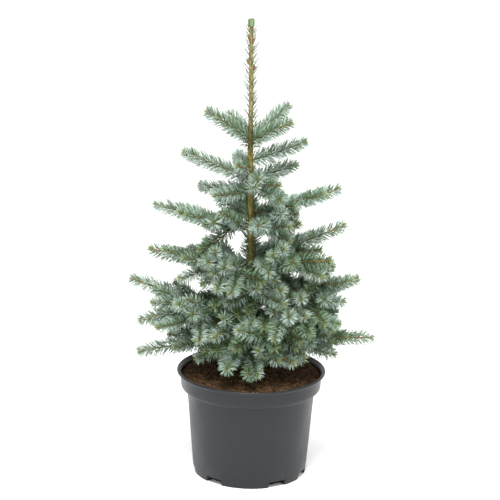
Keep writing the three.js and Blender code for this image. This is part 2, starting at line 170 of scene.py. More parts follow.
# Gaps between the boughs, as seen from the front in the plane of the stem: x, height, radius kept free of shoots
OPEN_GAPS = (
    (-34, 364, 25), (-82, 298, 25), (14, 432, 20), (75, 402, 22), (55, 448, 19), (115, 356, 19), (126, 328, 19),
    (-157, 268, 20), (-143, 217, 19), (-95, 195, 19), (-63, 453, 19), (-26, 465, 17),
    (12, 366, 13), (74, 357, 14), (66, 317, 14), (-38, 421, 11), (140, 186, 14),
)
STEM_SHOOT_LEVELS = (196, 356, 7.5)         # from height, to height, step
YEAR_OF_TWIG, YEAR_OF_BOUGH = 62, 86        # this year's growth of a side shoot and of a bough
ROOM_NEAR_STEM, ROOM_OUTSIDE = 11.0, 14.0   # room that a side shoot needs round its tip
MASS_REACH = 24         # a tip is no further than this from a CAD mass
BOX_MARGIN = 11         # a tip is this far inside the CAD box
OUTLINE_MARGIN = 7      # a tip is this far inside the outline of the masses
LOWEST_TIP = 172
NEAR_STEM, NEAR_LOW_STEM = 56, 96           # side shoots with their tip nearer to the stem have darker tones, as painted shade
CROWDED, LEADING = 62, 75                   # tips nearer than this may stand closer; tips further out have buds
FORKING_FORK = 58                           # a stated side shoot at least this long bears shoots of its own
FORKING_END = 0.62                          # no side shoot starts further along its parent than this share
TRIES = 12                                  # ends that a side shoot may choose from

# How often a shoot has each tone: axes of the top whorls; boughs and high outer shoots; low outer shoots; high shoots
# near the stem; low shoots near the stem. The darker tones low down and near the stem are painted shade.
TOP_TONES = (("silver", 0.4), ("blue", 0.6))
YOUNG_TONES = (("silver", 0.38), ("blue", 0.5), ("green", 0.12))
INNER_TONES = (("silver", 0.20), ("blue", 0.50), ("green", 0.30))
MIDDLE_TONES = (("silver", 0.10), ("blue", 0.60), ("green", 0.30))
DEEP_TONES = (("blue", 0.25), ("green", 0.75))
UPPER_CROWN, LOWER_CROWN = 320, 236         # heights over and under which the tones of the side shoots change


# ------------ what a user may change


def setting(name, description, default, kind=FloatProperty, **more):
    """A setting; `more` says its limits and its unit."""
    return kind(name=name, description=description, default=default, **more)


def colour(name, description, *shades):
    """A colour setting, given in scene linear values."""
    return setting(name, description, (*shades, 1), FloatVectorProperty, subtype="COLOR", size=4, min=0, max=1)


def distance(name, description, millimetres):
    return setting(name, description, millimetres * MM, min=0, subtype="DISTANCE", unit="LENGTH")


class SpruceNeedleSettings(bpy.types.PropertyGroup):
    """Sizes, numbers and colours of the needles"""

    length: distance("Needle length", "Length of a needle on a strong young shoot", 18.4)
    width: distance("Needle width", "Width of a needle across its middle", 1.2)
    lean: setting("Lean", "Angle between a needle and its twig", math.radians(60), subtype="ANGLE", unit="ROTATION")
    per_cm: setting("Needles per cm", "Needles on a centimetre of twig", 33, min=1)
    seed: setting("Seed", "Seed of the branching and of the needles", 47, IntProperty)
    silver: colour("Silver", "Sprays with the most bloom", 0.415, 0.495, 0.445)
    # The lower-face colours of silver, blue and green are painted shade: darker tones for the lower face and the root
    # of each needle.
    silver_below: colour("Silver below", "Lower faces of the silver needles", 0.15, 0.225, 0.12)
    blue: colour("Blue", "Most young sprays", 0.355, 0.45, 0.392)
    blue_below: colour("Blue below", "Lower faces of the blue needles", 0.105, 0.172, 0.085)
    green: colour("Green", "Sprays with little bloom", 0.218, 0.312, 0.208)
    green_below: colour("Green below", "Lower faces of the green needles", 0.061, 0.11, 0.042)
    # Shade is a darker needle tone that paints the shade deep in the crown, round the stem and at the whorls; old
    # needles there are darker too.
    shade: colour("Shade", "Old needles near the stem", 0.052, 0.095, 0.026)
    fresh: colour("Fresh", "Tufts round the end buds", 0.24, 0.28, 0.13)


class SpruceWoodSettings(bpy.types.PropertyGroup):
    """Sizes and colours of the stem, the boughs, the twigs and the buds"""

    relief: distance("Bark relief", "Height of the leaf cushions on the stem", 0.6)
    old_bark: colour("Old bark", "Bark of the lower stem and the old boughs", 0.088, 0.074, 0.026)
    gold_bark: colour("Gold bark", "Bark of the upper stem", 0.27, 0.215, 0.06)
    pale_bark: colour("Pale bark", "This year's leader", 0.262, 0.222, 0.094)
    twig_bark: colour("Twig bark", "Bark of the young twigs, green under its gold", 0.155, 0.124, 0.042)
    tip_bark: colour("Tip bark", "Golden end of a young twig", 0.31, 0.205, 0.06)
    bud: colour("Bud", "Bud scales", 0.18, 0.125, 0.06)


class SprucePotSettings(bpy.types.PropertyGroup):
    """Colours of the pot and the compost"""

    plastic: colour("Plastic", "Moulded plastic of the pot", 0.0102, 0.0124, 0.0152)
    roughness: setting("Roughness", "Roughness of the plastic", 0.42, min=0, max=1)
    peat: colour("Peat", "Dark crumbs of the compost", 0.0455, 0.0265, 0.0115)
    fibre: colour("Fibre", "Lighter fibres of the compost", 0.158, 0.086, 0.042)
    fibres: setting("Fibres", "Number of loose fibres on the compost", 1500, IntProperty)
    crumbs: setting("Crumbs", "Number of crumbs on the compost", 900, IntProperty)


class SpruceStageSettings(bpy.types.PropertyGroup):
    """The floor, the light and the camera"""

    floor: colour("Floor", "Plain pale floor", 0.98, 0.98, 0.98)
    sky: setting("Sky", "Strength of the light from all round", 1.25)
    key: setting("Key", "Power of the soft box above the front", 115, unit="POWER")
    lens: setting("Lens", "Focal length of the camera, in millimetres", 117.52)


# ------------ curves


def unit(vectors):
    return vectors / np.maximum(np.linalg.norm(vectors, axis=-1, keepdims=True), 1e-9)


def heading(turn, pitch=0.0):
    """Unit vector along a turn about the stem and a pitch above the level, both in degrees."""
    turn, pitch = math.radians(turn), math.radians(pitch)
    return np.array([math.cos(turn) * math.cos(pitch), math.sin(turn) * math.cos(pitch), math.sin(pitch)])


def turn_of(vector):
    return math.degrees(math.atan2(vector[1], vector[0]))


def stem_point(height):
    levels, offsets = zip(*STEM_LEAN)
    return np.array([np.interp(height, levels, offsets), 0.0, height])


def path_lengths(path):
    return np.concatenate([[0], np.cumsum(np.linalg.norm(np.diff(path, axis=0), axis=1))])


def evenly(points, step=2.0):
    """The same curve with its points a step apart."""
    along = path_lengths(points)
    at = np.linspace(0, along[-1], max(4, int(round(along[-1] / step)) + 1))
    return np.stack([np.interp(at, along, points[:, axis]) for axis in range(3)], axis=1)


def bowed(start, end, pull):
    """A curve from start to end whose middle is drawn aside by half of `pull`."""
    t = np.linspace(0, 1, 48)[:, None]
    middle = (start + end) / 2 + pull
    return evenly((1 - t) ** 2 * start + 2 * t * (1 - t) * middle + t**2 * end)


def point_at(path, s):
    """Points and unit tangents of a path at distances s from its start."""
    along = path_lengths(path)
    tangents = unit(np.gradient(path, along, axis=0))
    point = np.stack([np.interp(s, along, path[:, axis]) for axis in range(3)], axis=-1)
    tangent = np.stack([np.interp(s, along, tangents[:, axis]) for axis in range(3)], axis=-1)
    return point, unit(tangent)


def swung(along, aside, angle):
    """Vectors along a line, swung to its side by an angle each."""
    return along * np.cos(angle)[..., None] + aside * np.sin(angle)[..., None]


def outward(turns):
    """Level unit vectors at these turns."""
    return np.stack([np.cos(turns), np.sin(turns), np.zeros(len(turns))], axis=1)


# ------------ branching


@dataclass
class Shoot:
    """One length of wood and the needles on it."""

    mass: str               # the CAD mass that it stands for a part of
    path: np.ndarray
    foot: float             # wood radius at the start
    tip: float
    bare: float             # distance from the start to the first needle
    old: float              # distance from the start to this year's growth
    tone: str               # colour of this year's needles
    old_tone: str
    length: float = 1.0     # needle length, as a share of the setting
    lean: float = 1.0       # needle lean, as a share of the setting
    density: float = 1.0    # needles per centimetre, as a share of the setting
    taper: float = 0.3      # how much shorter the needles get at the end
    width: float = 1.0      # needle width, as a share of the setting
    leading: bool = True    # has a fresh tuft, and buds beside its end bud
    main: bool = False      # is the main axis of a bough or of a young shoot, with a longer golden end

    @property
    def total(self):
        return path_lengths(self.path)[-1]


class Crown:
    """What a new side shoot asks before it grows: is there room, and would it close a gap in the outline?"""

    def __init__(self):
        self.masses = []
        for name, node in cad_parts.items():
            if name.startswith("needles_"):
                corners = [vertex.co for vertex in node.data.vertices]
                faces = [tuple(face.vertices) for face in node.data.polygons]
                self.masses.append(BVHTree.FromPolygons(corners, faces))
        self.taken = np.zeros((0, 3))
        self.eye = Vector(CAMERA_PLACE)
        self.low, self.high = np.array(CAD_BOX) / MM

    def take(self, path):
        """Notes a shoot that stands."""
        self.taken = np.concatenate([self.taken, path[::4]])

    def room(self, point):
        return np.linalg.norm(self.taken - point, axis=1).min()

    def in_outline(self, point):
        """True if the point stands in front of or behind a mass as seen from the plant's front."""
        ray = Vector(point * MM) - self.eye
        return any(tree.ray_cast(self.eye, ray)[0] is not None for tree in self.masses)

    def shuts_gap(self, path):
        """True if a shoot would pass in front of the open stem, or fill a gap between the boughs."""
        low, high, half = OPEN_STEM
        eye = np.array(self.eye) / MM
        for share in np.linspace(0.2, 1, 5):
            point = path[0] + (path[-1] - path[0]) * share
            if point[1] < 0 and low < point[2] < high and abs(point[0] - stem_point(point[2])[0]) < half:
                return True
            seen = eye + (point - eye) * eye[1] / (eye[1] - point[1])
            if any(math.hypot(seen[0] - x, seen[2] - z) < radius for x, z, radius in OPEN_GAPS):
                return True
        return False

    def admits(self, path):
        """True if a shoot from path[0] to path[-1] would stay in the crown and close no gap."""
        tip = path[-1]
        if np.any(tip < self.low + BOX_MARGIN) or np.any(tip > self.high - BOX_MARGIN) or tip[2] < LOWEST_TIP:
            return False
        spot = Vector(tip * MM)
        if not any(tree.find_nearest(spot, MASS_REACH * MM)[0] is not None for tree in self.masses):
            return False
        if self.shuts_gap(path):
            return False
        shifts = np.array([(1, 0, 0), (-1, 0, 0), (0, 0, 1), (0, 0, -1)]) * OUTLINE_MARGIN
        return all(self.in_outline(tip + shift) for shift in shifts)


def pick_tone(rng, shares):
    tones, weights = zip(*shares)
    return tones[rng.choice(len(tones), p=np.array(weights) / sum(weights))]


def tones_at(tip):
    """How often a side shoot has each tone: paler high in the crown, darker near the stem and low down, where the
    darker tones are painted shade.
    """
    inside = from_stem(tip)
    if tip[2] > UPPER_CROWN:
        return MIDDLE_TONES if inside < NEAR_STEM else YOUNG_TONES
    return DEEP_TONES if inside < (NEAR_LOW_STEM if tip[2] < LOWER_CROWN else NEAR_STEM) else INNER_TONES


def old_tone(tip):
    """The tone of last year's needles: bluer high in the crown and greener lower down, where their darker tone is
    also painted shade under the upper boughs.
    """
    return "blue" if tip[2] > UPPER_CROWN else "green"


def side_shoot(parent, place, end, rng, tones):
    """A side shoot that leaves its parent wide and then bends forward to its end."""
    start, tangent = point_at(parent.path, place * parent.total)
    run = end - start
    aside = unit(run - tangent * (run @ tangent))
    path = bowed(start, end, aside * np.linalg.norm(run) * 0.16 + rng.normal(0, 1.5, 3))
    total = path_lengths(path)[-1]
    old = max(0.0, total - YEAR_OF_TWIG) if total > 74 else 0.0
    return Shoot(
        parent.mass, path, 1.25, 0.8, 2.0, old, pick_tone(rng, tones), old_tone(end),
        length=0.98 + 0.12 * rng.random(),
    )


def trimmed(path, cut=3.5):
    """A path without its last few millimetres, which the tuft and the bud take up."""
    along = path_lengths(path)
    return path[along <= along[-1] - cut]


def front_shoot(parent, place, tip, tone):
    """A shoot that leaves its parent and bends to the front, so that its end bud looks forward."""
    start, _ = point_at(parent.path, place * parent.total)
    middle = tip - heading(-90, 16) * np.linalg.norm(tip - start) * 0.62
    return Shoot(
        parent.mass, bowed(start, tip, middle - (start + tip) / 2), 1.3, 0.85, 2.0, 0.0, tone, "green",
        length=1.08, lean=0.97, density=1.55, taper=0.12, width=0.88,
    )


def stem_shoots(rng):
    """Short shoots that stand on the stem between its lower whorls, in a spiral."""
    shoots = []
    for step, height in enumerate(np.arange(*STEM_SHOOT_LEVELS)):
        turn = math.degrees(step * GOLDEN_ANGLE) + 40
        reach = rng.uniform(30, 52)
        start = stem_point(height)
        end = start + heading(turn, rng.uniform(4, 34)) * reach
        path = bowed(start, end, UP * 5 + rng.normal(0, 2, 3))
        # Their dark tones paint the shade near the stem.
        shoots.append(Shoot(
            "needles_whorl_6_front", path, 1.5, 0.85, 6.0, 0.0, pick_tone(rng, DEEP_TONES), "shade", length=0.95,
            leading=False,
        ))
    return shoots


def grow_main(row, rng, limb):
    """The main axis of a bough or of a young shoot, from the stem's axis to its tip."""
    name, height, turn, reach, rise, arch, bare, _ = row
    start = stem_point(height)
    end = start + heading(turn) * reach + UP * rise
    path = trimmed(bowed(start, end, UP * 2 * arch))
    old = max(bare, path_lengths(path)[-1] - YEAR_OF_BOUGH) if limb else 0.0
    return Shoot(
        f"needles_{name}", path, 3.3 if limb else 2.1, 1.45, bare * 0.6 if limb else 3.0, old,
        pick_tone(rng, YOUNG_TONES if limb else TOP_TONES), old_tone(end), length=1.10, main=True,
        lean=0.95, density=1.3 if limb else 1.8, taper=0.36, width=0.88 if limb else 0.86,
    )


def grow_plant(settings):
    """Every shoot: the main axes, their stated side shoots, and the ones that the rule adds where there is room."""
    rng = np.random.default_rng(settings.seed)
    crown = Crown()
    mains, shoots, added = [], [], []

    def keep(shoot, kept):
        kept.append(shoot)
        crown.take(shoot.path)

    for limb, rows in ((False, YOUNG_SHOOTS), (True, BOUGHS)):
        for row in rows:
            main = grow_main(row, rng, limb)
            keep(main, mains)
            for place, swing, reach, rise in row[7]:
                start, _ = point_at(main.path, place * main.total)
                end = start + heading(row[2] + swing) * reach + UP * rise
                fork = side_shoot(main, place, end, rng, YOUNG_TONES)
                fork.path = trimmed(fork.path, 3.0)
                keep(fork, shoots)
    by_mass = {main.mass: main for main in mains}
    for name, place, tip, tone in FRONT_SHOOTS:
        keep(front_shoot(by_mass[f"needles_{name}"], place, np.array(tip, float), tone), shoots)
    for shoot in stem_shoots(rng):
        if not crown.shuts_gap(shoot.path):
            keep(shoot, shoots)
    for parent in [main for main in mains if main.old > 0] + [fork for fork in shoots if fork.total > FORKING_FORK]:
        side = 1 if rng.random() < 0.5 else -1
        place = (parent.bare + 10) / parent.total
        while place < FORKING_END:
            best = best_side_shoot(parent, place, side, crown, rng)
            if best is not None:
                keep(best, added)
            side = -side
            place += rng.uniform(7, 12) / parent.total
    return mains + shoots + added


def best_side_shoot(parent, place, side, crown, rng):
    """Of a few tries, the side shoot with the most room round its tip, or None if none has room."""
    start, tangent = point_at(parent.path, place * parent.total)
    best, most = None, 0.0
    for _ in range(TRIES):
        turn = turn_of(tangent) + side * (rng.uniform(44, 80) if tangent[1] < -0.5 else rng.uniform(26, 60))
        reach = rng.uniform(30, 62)
        end = start + heading(turn, rng.uniform(-34, 38)) * reach
        room = min(crown.room(end), crown.room((start + 2 * end) / 3) + 3)
        room -= ROOM_NEAR_STEM if from_stem(end) < CROWDED else ROOM_OUTSIDE
        if room > most and crown.admits(np.array([start, end])):
            best, most = end, room
    if best is None:
        return None
    shoot = side_shoot(parent, place, best, rng, tones_at(best))
    shoot.leading = from_stem(best) > LEADING
    return shoot


def from_stem(point):
    return np.linalg.norm((point - stem_point(point[2]))[:2])


# ------------ making meshes


class Solids:
    """Gathers closed solids, of quads and triangles, that become one piece."""

    def __init__(self):
        self.points, self.quads, self.triangles = [], [], []
        self.quad_finish, self.triangle_finish = [], []
        self.count = 0

    def add(self, points, quads, triangles, quad_finish=0, triangle_finish=0):
        self.points.append(points)
        self.quads.append(quads + self.count)
        self.triangles.append(triangles + self.count)
        self.quad_finish.append(np.broadcast_to(quad_finish, len(quads)))
        self.triangle_finish.append(np.broadcast_to(triangle_finish, len(triangles)))
        self.count += len(points)

    @property
    def size(self):
        """Number of triangles that the piece comes to."""
        return 2 * sum(map(len, self.quads)) + sum(map(len, self.triangles))

    def make(self, name, materials, nodes, slot, smooth=False):
        points = np.concatenate(self.points) * MM
        quads, triangles = np.concatenate(self.quads), np.concatenate(self.triangles)
        corners = np.concatenate([quads.ravel(), triangles.ravel()])
        starts = np.concatenate([np.arange(len(quads)) * 4, quads.size + np.arange(len(triangles)) * 3])
        finish = np.concatenate(self.quad_finish + self.triangle_finish)
        mesh = bpy.data.meshes.new(name)
        mesh.vertices.add(len(points))
        mesh.vertices.foreach_set("co", points.astype(np.float32).ravel())
        mesh.loops.add(len(corners))
        mesh.loops.foreach_set("vertex_index", corners.astype(np.int32))
        mesh.polygons.add(len(starts))
        mesh.polygons.foreach_set("loop_start", starts.astype(np.int32))
        mesh.polygons.foreach_set("material_index", finish.astype(np.int32))
        mesh.polygons.foreach_set("use_smooth", np.full(len(finish), smooth))
        mesh.update(calc_edges=True)
        if mesh.validate():
            raise RuntimeError(f"{name} has faces that can't be used")
        return place(name, mesh, materials, nodes, slot)


def place(name, mesh, materials, nodes, slot):
    """Puts a mesh in the scene as a piece that rides on the one body and stands for its CAD nodes."""
    for material in materials:
        mesh.materials.append(material)
    piece = bpy.data.objects.new(name, mesh)
    bpy.context.scene.collection.objects.link(piece)
    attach(piece, "root")
    if nodes:
        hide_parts(*nodes)
    return piece


def ring_frame(path):
    """Two unit vectors across a path at each of its points, turning as little as they can."""
    tangents = unit(np.gradient(path, axis=0))
    across = np.zeros_like(path)
    last = np.array([1.0, 0, 0]) if abs(tangents[0][2]) > 0.9 else UP
    for index, tangent in enumerate(tangents):
        last = across[index] = unit(last - tangent * (last @ tangent))
    return across, np.cross(tangents, across)


def skin(rings, sides, first, foot, head):
    """Quads between rings of points that start at index `first`, and triangles to the points foot and head."""
    near = first + np.arange(sides)
    after = np.roll(near, -1)
    rows = np.arange(rings - 1)[:, None] * sides
    quads = np.stack([rows + near, rows + after, rows + sides + after, rows + sides + near], axis=-1)
    last = (rings - 1) * sides
    ends = ((np.full(sides, foot), after, near), (np.full(sides, head), last + near, last + after))
    return quads.reshape(-1, 4), np.concatenate([np.stack(end, axis=1) for end in ends])


def tube(path, radii, sides, relief=None):
    """A closed tube along a path: its points, its quads, and the triangles that close its ends."""
    across, other = ring_frame(path)
    angle = np.arange(sides) * 2 * math.pi / sides
    radius = np.repeat(np.asarray(radii, float)[:, None], sides, axis=1)
    if relief is not None:
        radius = radius + relief(path_lengths(path)[:, None], angle, radius)
    rings = path[:, None] + swung(across[:, None], other[:, None], angle) * radius[..., None]
    points = np.concatenate([rings.reshape(-1, 3), path[:1], path[-1:]])
    return points, *skin(len(path), sides, 0, len(points) - 2, len(points) - 1)


# ------------ needles

NEEDLE_RINGS = ((0.24, 1.0), (0.72, 0.82))      # place along a needle, share of its width
NEEDLE_SIDES = (90, 210, 330)                   # corners of a needle's section: a ridge above, a flat below
NEEDLE_CORNER = 0.58                            # distance from its axis to a corner, as a share of its width
TONES = ("silver", "blue", "green", "shade", "fresh", "silver_below", "blue_below", "green_below")
# Each tone's darker partner, for the lower faces and the roots of its needles, is painted shade.
PAINTED_SHADE = {tone: f"{tone}_below" for tone in ("silver", "blue", "green")}
PAINTED_SHADE_TONE = np.array([TONES.index(PAINTED_SHADE.get(tone, tone)) for tone in TONES])
# The tone that some needles of a spray have instead
NEXT_TONE = {"silver": "green", "blue": "silver_below", "green": "shade", "shade": "green"}
OWN_TONE = 0.66         # share of needles with the spray's own tone


def needle_solids(solids, root, direction, length, bend, width, finish, rng):
    """Adds needles: slim three-sided spindles, pointed at both ends and bent a little."""
    count, corners, rings = len(root), len(NEEDLE_SIDES), len(NEEDLE_RINGS)
    across = unit(np.cross(UP + rng.normal(0, 0.35, (count, 3)), direction))
    other = np.cross(direction, across)
    parts = [root]
    for share, broad in NEEDLE_RINGS:
        centre = root + direction * (length * share)[:, None] + bend * share**2
        for turn in map(math.radians, NEEDLE_SIDES):
            spoke = across * math.cos(turn) + other * math.sin(turn)
            parts.append(centre + spoke * (width * broad * NEEDLE_CORNER)[:, None])
    parts.append(root + direction * length[:, None] + bend)
    first = np.arange(count)[:, None, None] * len(parts)
    quads, triangles = skin(rings, corners, 1, 0, len(parts) - 1)
    # The root of each needle takes the darker tone all round, and its lower face does too: painted shade.
    below = np.repeat(PAINTED_SHADE_TONE[finish][:, None], corners, axis=1)
    solids.add(
        np.stack(parts, axis=1).reshape(-1, 3), (first + quads).reshape(-1, 4), (first + triangles).reshape(-1, 3),
        painted_shade_faces(finish, rings - 1),
        np.concatenate([below, painted_shade_faces(finish, 1).reshape(count, corners)], axis=1).ravel(),
    )


def painted_shade_faces(finish, rounds):
    """The finish of each needle's faces: its own colour on the two upper ones, and a darker one below as painted
    shade.
    """
    return np.tile(np.stack([finish, PAINTED_SHADE_TONE[finish], finish], axis=1), (1, rounds)).ravel()


def spray_finish(tone, count, rng):
    """The finish of each needle of a spray: most have the spray's colour, some the one next to it."""
    return np.where(rng.random(count) < OWN_TONE, TONES.index(tone), TONES.index(NEXT_TONE[tone]))


def round_twig(path, s, turn):
    """Points of a path, their tangents, and unit vectors away from it at angles from its upper side."""
    point, tangent = point_at(path, s)
    upright = np.abs(tangent[:, 2:3]) > 0.96
    lean = np.where(upright, -tangent[:, 1:2], tangent[:, 2:3])
    up = unit(np.where(upright, (0.0, -1.0, 0.0), UP) - tangent * lean)
    return point, tangent, swung(up, np.cross(tangent, up), turn)


def clad(solids, shoot, settings, rng):
    """Needles along one shoot, in the spiral that spruces have, and the tuft round its end bud."""
    per_mm = settings.per_cm / 10 * shoot.density
    total = shoot.total
    count = int((total - shoot.bare) * per_mm)
    s = shoot.bare + (np.arange(count) + rng.random(count)) / per_mm
    turn = np.arange(count) * GOLDEN_ANGLE + rng.normal(0, 0.2, count)
    over = np.cos(turn)                                   # 1 on the upper side, -1 below
    young = s >= shoot.old
    to_tip = np.maximum(total - s, 0)
    chance = (0.94 + 0.04 * over) * np.where(young, 1, 0.8)
    if shoot.main:
        chance *= 1 - (0.2 + 0.35 * np.exp(-to_tip / 22)) * (over > 0.4)
    kept = rng.random(count) < chance
    s, turn, over, young, to_tip = (values[kept] for values in (s, turn, over, young, to_tip))
    count = len(s)
    point, tangent, out = round_twig(shoot.path, s, turn)
    lean = settings.lean * shoot.lean + np.radians(rng.normal(0, 5, count) - 6 * over)
    direction = swung(tangent, out, lean * (1 - 0.16 * np.exp(-to_tip / 6)))
    direction = unit(direction + UP * (0.04 + 0.10 * (1 - over**2))[:, None])
    length = settings.length / MM * shoot.length * (0.86 + 0.2 * rng.random(count)) * (0.94 + 0.06 * over)
    length = length * (1 - shoot.taper * np.exp(-to_tip / 14)) * (1 - 0.12 * np.exp(-(s - shoot.bare) / 5))
    length = length * np.where(young, 1, 0.9)
    pull = tangent * 0.7 + UP * 0.4
    bend = (pull - direction * np.sum(pull * direction, axis=1, keepdims=True)) * (length * 0.07)[:, None]
    wood = np.interp(s, (0, total), (shoot.foot, shoot.tip))
    width = settings.width / MM * shoot.width * (0.9 + 0.2 * rng.random(count))
    width = width * (1 - 0.08 * np.exp(-to_tip / 14))
    finish = np.where(young, *(spray_finish(tone, count, rng) for tone in (shoot.tone, shoot.old_tone)))
    needle_solids(solids, point + out * (wood * 0.7)[:, None], direction, length, bend, width, finish, rng)
    tuft(solids, shoot, settings, rng)


def tuft(solids, shoot, settings, rng, count=13):
    """The short needles that stand round the end bud."""
    s = shoot.total - 2.6 * rng.random(count)
    point, tangent, out = round_twig(shoot.path, s, np.arange(count) * GOLDEN_ANGLE)
    lean = np.radians(12 + 30 * rng.random(count))
    direction = unit(swung(tangent, out, lean) + UP * 0.06)
    length = settings.length / MM * shoot.length * (0.36 + 0.16 * rng.random(count))
    bend = -out * (length * 0.04)[:, None]
    width = np.full(count, settings.width / MM * 0.92)
    finish = np.full(count, TONES.index("fresh" if shoot.leading else shoot.tone))
    needle_solids(solids, point + out * shoot.tip * 0.8, direction, length, bend, width, finish, rng)


# ------------ stem, boughs and twigs

# Height, radius: the stem tapers to its leader, which is thinner than the wood of the year before.
STEM_TAPER = ((STEM_FOOT, 7.7), (340, 5.65), (410, 4.85), (500, 4.2), (530, 3.9), (560, 3.5), (660, 3.1), (699, 2.3))


def stem_radius(height):
    levels, radii = zip(*STEM_TAPER)
    flare = 2.0 * np.maximum(0, 1 - (height - STEM_FOOT) / 18) ** 2
    knots = sum(0.9 * np.exp(-(((height - whorl) / 6) ** 2)) for whorl in WHORL_HEIGHTS)
    return np.interp(height, levels, radii) + flare + knots


def cushions(columns, tall, depth):
    """Relief of the leaf cushions: upright ridges that stand out most at their upper ends."""

    def relief(s, angle, radius):
        column = angle * columns / (2 * math.pi) + 0.12 * np.sin(s / 7)
        ridge = 0.5 + 0.5 * np.cos(2 * math.pi * column)
        peg = (s / tall + np.floor(column + 0.5) * 0.382) % 1
        rough = 0.35 * np.sin(s * 1.9 + angle * 5) * np.sin(s * 0.73 - angle * 3)
        return depth * (ridge * (0.35 + 0.65 * peg**2) - 0.3 + 0.4 * rough) * np.minimum(1, radius / 2)

    return relief


def stem_tube(settings):
    """The stem from the compost to its tip, which swings a little forward and back."""
    heights = np.arange(STEM_FOOT, STEM_TOP, 1.5)
    path = np.stack([stem_point(height) for height in heights])
    swing = np.sin((heights - STEM_FOOT) / 37) * 0.8 * np.minimum(1, (heights - STEM_FOOT) / 60)
    path[:, 1] += swing * np.minimum(1, (STEM_TOP - heights) / 60)
    return tube(path, stem_radius(heights), 28, cushions(9, 8.5, settings.relief / MM))


def wood_radii(shoot, s):
    """Radius of a shoot's wood at distances s from its start, with a collar where it leaves its parent."""
    total = shoot.total
    if shoot.main and shoot.bare > 6:
        collar = 1.6 * np.exp(-s / 7)
        return np.interp(s, (0, 24, shoot.old, total), (2.9, 2.1, 1.6, shoot.tip)) + collar
    return np.interp(s, (0, total), (shoot.foot, shoot.tip)) + 0.5 * np.exp(-s / 3)


TIP_WOOD = 24           # length of the golden end of a young twig


def add_wood(solids, shoot, sides, columns, first):
    """Adds a shoot's wood in three finishes, the first of them `first`: old, young and golden."""
    path = evenly(shoot.path, 2.0 if shoot.main else 3.6)
    s = path_lengths(path)
    points, quads, ends = tube(path, wood_radii(shoot, s), sides, cushions(columns, 4.2, 0.24))
    middle = (s[:-1] + s[1:]) / 2
    golden = shoot.total - TIP_WOOD * (1 if shoot.main else 0.3)
    finish = np.where(middle < shoot.old, 0, np.where(middle < golden, 1, 2)) + first
    solids.add(points, quads, ends, np.repeat(finish, sides), np.repeat([finish[0], finish[-1]], sides))


# Place along a bud, share of its radius
BUD_RINGS = ((0, 0.75), (0.2, 1.0), (0.45, 0.95), (0.72, 0.62), (1, 0.08))


def add_bud(solids, at, direction, length, radius):
    """A bud: an egg shape with soft ribs."""
    path = at + direction * (np.array([place for place, _ in BUD_RINGS]) * length)[:, None]
    radii = [share * radius for _, share in BUD_RINGS]
    points, quads, ends = tube(path, radii, 6, lambda s, angle, r: r * 0.1 * np.cos(3 * angle + s * 2))
    solids.add(points, quads, ends)


# height, turn
LEADER_BUDS = (
    (676, 200), (673, 222), (672, 340), (669, 318), (640, 170), (637, 196), (631, 10), (629, 344), (676, 90),
    (640, 84),
)


def add_buds(solids, shoots, rng):
    """Adds the end buds, two beside most of them, and the leader's own."""
    for shoot in shoots:
        end, tangent = shoot.path[-1], unit(shoot.path[-1] - shoot.path[-2])
        add_bud(solids, end - tangent, tangent, 4.6, shoot.tip * 1.2)
        for side in (-1, 1) if shoot.leading else ():
            spot, along = point_at(shoot.path, shoot.total - rng.uniform(3, 6))
            aside = unit(np.cross(along, UP)) * side
            lean = unit(along + aside * 0.9 + UP * rng.uniform(-0.2, 0.4))
            add_bud(solids, spot + aside * shoot.tip * 0.6, lean, 3.4, 1.05)
    for height, turn in LEADER_BUDS:
        out = heading(turn)
        add_bud(solids, stem_point(height) + out * 2.4, unit(out + UP * 0.8), 6.0, 1.9)
    add_bud(solids, stem_point(STEM_TOP - 2), UP, 5.0, 2.6)


# ------------ needles on the stem


def stem_needles(solids, settings, rng):
    """The sparse upright needles of the leader, its tuft, and the needles left on the stem between whorls."""
    for low, high, per_mm, lean, length, tone in STEM_NEEDLES:
        count = int((high - low) * per_mm)
        heights = low + (np.arange(count) + rng.random(count)) / per_mm
        out = outward(np.arange(count) * GOLDEN_ANGLE + rng.normal(0, 0.2, count))
        kept = (out[:, 1] > -0.5) | (rng.random(count) < STEM_FRONT_SHARE)
        heights, out, count = heights[kept], out[kept], int(kept.sum())
        foot = np.stack([stem_point(height) for height in heights])
        foot = foot + out * (stem_radius(heights) * 0.85)[:, None]
        direction = swung(UP, out, np.radians(lean + rng.normal(0, 5, count)))
        lengths = settings.length / MM * length * (0.82 + 0.3 * rng.random(count))
        width = np.full(count, settings.width / MM * 0.88)
        finish = spray_finish(tone, count, rng)
        needle_solids(solids, foot, direction, lengths, UP * (lengths * 0.08)[:, None], width, finish, rng)
    leader_tuft(solids, settings, rng)


STEM_FRONT_SHARE = 0.25     # share of the stem's needles that is left on its front

# Rows in the shade tone paint the shade round the stem and at the whorls.
# from height, to height, needles per mm, lean from upright (degrees), share of the full length, colour
STEM_NEEDLES = (
    (196, 330, 1.0, 54, 0.90, "shade"),
    (222, 290, 3.0, 70, 1.05, "shade"),
    (238, 274, 7.0, 74, 1.15, "shade"),
    (322, 390, 3.8, 56, 0.98, "green"),
    (388, 460, 2.8, 50, 0.80, "green"),
    (330, 460, 1.4, 26, 0.50, "shade"),
    (460, 520, 1.1, 40, 0.55, "green"),
    (512, 532, 3.6, 92, 0.85, "shade"),
    (516, 540, 2.0, 60, 0.80, "green"),
    (454, 474, 2.0, 84, 0.80, "shade"),
    (536, 660, 0.7, 42, 0.80, "blue"),
    (536, 660, 1.0, 42, 0.80, "shade"),
    (660, 686, 1.4, 36, 0.66, "shade"),
)


